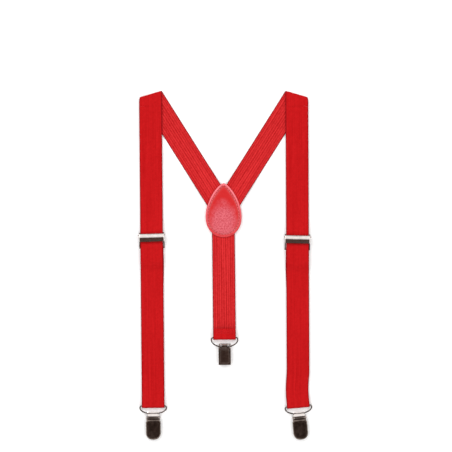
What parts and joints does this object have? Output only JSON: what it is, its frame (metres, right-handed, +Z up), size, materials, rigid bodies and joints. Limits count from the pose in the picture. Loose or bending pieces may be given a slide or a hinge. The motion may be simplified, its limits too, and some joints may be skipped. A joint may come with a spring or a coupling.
{
  "type": "suspenders",
  "caption": "Clip-on suspenders with a Y back: webbing straps, a leather patch, two lever adjusters and three lever clips on wire loops, laid flat with the front straps folded over.",
  "frame": {"origin": "centre of the bounding box, at the surface that the suspenders lie on", "axes": "+X to the right, +Y along the straps towards the shoulders, +Z up off the surface; left is -X and right is +X"},
  "size_m": [0.1914, 0.3832, 0.0083],
  "materials": {
    "webbing": "red elastic webbing, matt, ribbed on its inner face",
    "leather": "red glazed split leather, semi-gloss",
    "nickel": "bright polished nickel plate",
    "dark_nickel": "mirror-polished nickel plate of a darker tone",
    "rubber": "soft off-white rubber, matt"
  },
  "bodies": {
    "root": {"patch_outer_leather": "leather", "patch_inner_leather": "leather", "left_back_strap": "webbing", "right_back_strap": "webbing", "left_shoulder_fold": "webbing", "right_shoulder_fold": "webbing", "left_front_strap": "webbing", "right_front_strap": "webbing", "back_strap": "webbing", "back_strap_hem": "webbing"},
    "left_strap_end": {"left_strap_end_fold": "webbing", "left_tail_strap": "webbing"},
    "left_adjuster": {"left_adjuster_frame": "nickel", "left_adjuster_pivot_pin": "nickel", "left_tail_end_loop": "webbing"},
    "left_adjuster_lever": {"left_adjuster_lever": "nickel"},
    "left_loop": {"left_wire_loop": "nickel"},
    "left_clip": {"left_clip_base_plate": "dark_nickel", "left_clip_pivot_pin": "nickel", "left_clip_base_pad": "rubber"},
    "left_cover": {"left_clip_cover_lever": "dark_nickel"},
    "left_jaw": {"left_clip_spring_jaw": "nickel", "left_clip_jaw_pad": "rubber"},
    "right_strap_end": {"right_strap_end_fold": "webbing", "right_tail_strap": "webbing"},
    "right_adjuster": {"right_adjuster_frame": "nickel", "right_adjuster_pivot_pin": "nickel", "right_tail_end_loop": "webbing"},
    "right_adjuster_lever": {"right_adjuster_lever": "nickel"},
    "right_loop": {"right_wire_loop": "nickel"},
    "right_clip": {"right_clip_base_plate": "dark_nickel", "right_clip_pivot_pin": "nickel", "right_clip_base_pad": "rubber"},
    "right_cover": {"right_clip_cover_lever": "dark_nickel"},
    "right_jaw": {"right_clip_spring_jaw": "nickel", "right_clip_jaw_pad": "rubber"},
    "back_loop": {"back_wire_loop": "nickel"},
    "back_clip": {"back_clip_base_plate": "dark_nickel", "back_clip_pivot_pin": "nickel", "back_clip_base_pad": "rubber"},
    "back_cover": {"back_clip_cover_lever": "dark_nickel"},
    "back_jaw": {"back_clip_spring_jaw": "nickel", "back_clip_jaw_pad": "rubber"}
  },
  "joints": [
    {"name": "left_adjuster_slide", "type": "slide", "parent": "root", "child": "left_adjuster", "axis": [0.0091, -1, 0], "range_m": [-0.09, 0.27], "deforming": ["left_front_strap"]},
    {"name": "left_strap_end_slide", "type": "slide", "parent": "left_adjuster", "child": "left_strap_end", "axis": [0.0091, -1, 0], "range_m": [-0.135, 0.045], "deforming": ["left_tail_strap"]},
    {"name": "left_adjuster_lever_hinge", "type": "hinge", "parent": "left_adjuster", "child": "left_adjuster_lever", "pos_m": [-0.08072, 0.03287, 0.0057], "axis": [-0.9995, -0.0314, 0], "range_deg": [0, 70]},
    {"name": "left_loop_swing", "type": "hinge", "parent": "left_strap_end", "child": "left_loop", "pos_m": [-0.07901, -0.15472, 0.0025], "axis": [-1, -0.0091, 0], "range_deg": [-100, 100]},
    {"name": "left_clip_swing", "type": "hinge", "parent": "left_loop", "child": "left_clip", "pos_m": [-0.07893, -0.16332, 0.0025], "axis": [-1, -0.0091, 0], "range_deg": [-70, 70]},
    {"name": "left_cover_hinge", "type": "hinge", "parent": "left_clip", "child": "left_cover", "pos_m": [-0.07889, -0.16782, 0.0034], "axis": [-1, -0.0091, 0], "range_deg": [0, 100]},
    {"name": "left_jaw_hinge", "type": "hinge", "parent": "left_clip", "child": "left_jaw", "pos_m": [-0.07889, -0.16782, 0.0034], "axis": [-1, -0.0091, 0], "range_deg": [0, 12]},
    {"name": "right_adjuster_slide", "type": "slide", "parent": "root", "child": "right_adjuster", "axis": [0.0044, -1, 0], "range_m": [-0.09, 0.27], "deforming": ["right_front_strap"]},
    {"name": "right_strap_end_slide", "type": "slide", "parent": "right_adjuster", "child": "right_strap_end", "axis": [0.0044, -1, 0], "range_m": [-0.135, 0.045], "deforming": ["right_tail_strap"]},
    {"name": "right_adjuster_lever_hinge", "type": "hinge", "parent": "right_adjuster", "child": "right_adjuster_lever", "pos_m": [0.07957, 0.03097, 0.0057], "axis": [-0.9998, 0.0209, 0], "range_deg": [0, 70]},
    {"name": "right_loop_swing", "type": "hinge", "parent": "right_strap_end", "child": "right_loop", "pos_m": [0.08038, -0.15473, 0.0025], "axis": [-0.9958, -0.0915, 0], "range_deg": [-100, 100]},
    {"name": "right_clip_swing", "type": "hinge", "parent": "right_loop", "child": "right_clip", "pos_m": [0.08117, -0.1633, 0.0025], "axis": [-0.9958, -0.0915, 0], "range_deg": [-70, 70]},
    {"name": "right_cover_hinge", "type": "hinge", "parent": "right_clip", "child": "right_cover", "pos_m": [0.08158, -0.16778, 0.0034], "axis": [-0.9958, -0.0915, 0], "range_deg": [0, 100]},
    {"name": "right_jaw_hinge", "type": "hinge", "parent": "right_clip", "child": "right_jaw", "pos_m": [0.08158, -0.16778, 0.0034], "axis": [-0.9958, -0.0915, 0], "range_deg": [0, 12]},
    {"name": "back_loop_swing", "type": "hinge", "parent": "root", "child": "back_loop", "pos_m": [-0.00064, -0.07973, 0.0037], "axis": [-0.9999, -0.0105, 0], "range_deg": [-100, 100]},
    {"name": "back_clip_swing", "type": "hinge", "parent": "back_loop", "child": "back_clip", "pos_m": [-0.00053, -0.09012, 0.0037], "axis": [-0.9999, -0.0105, 0], "range_deg": [-70, 70]},
    {"name": "back_cover_hinge", "type": "hinge", "parent": "back_clip", "child": "back_cover", "pos_m": [-0.00048, -0.09462, 0.0028], "axis": [0.9999, 0.0105, 0], "range_deg": [0, 100]},
    {"name": "back_jaw_hinge", "type": "hinge", "parent": "back_clip", "child": "back_jaw", "pos_m": [-0.00048, -0.09462, 0.0028], "axis": [0.9999, 0.0105, 0], "range_deg": [0, 12]}
  ],
  "couplings": [
    {"joint": "left_strap_end_slide", "follows": "left_adjuster_slide", "ratio": -0.5},
    {"joint": "left_jaw_hinge", "follows": "left_cover_hinge", "ratio": 0.12},
    {"joint": "right_strap_end_slide", "follows": "right_adjuster_slide", "ratio": -0.5},
    {"joint": "right_jaw_hinge", "follows": "right_cover_hinge", "ratio": 0.12},
    {"joint": "back_jaw_hinge", "follows": "back_cover_hinge", "ratio": 0.12}
  ]
}
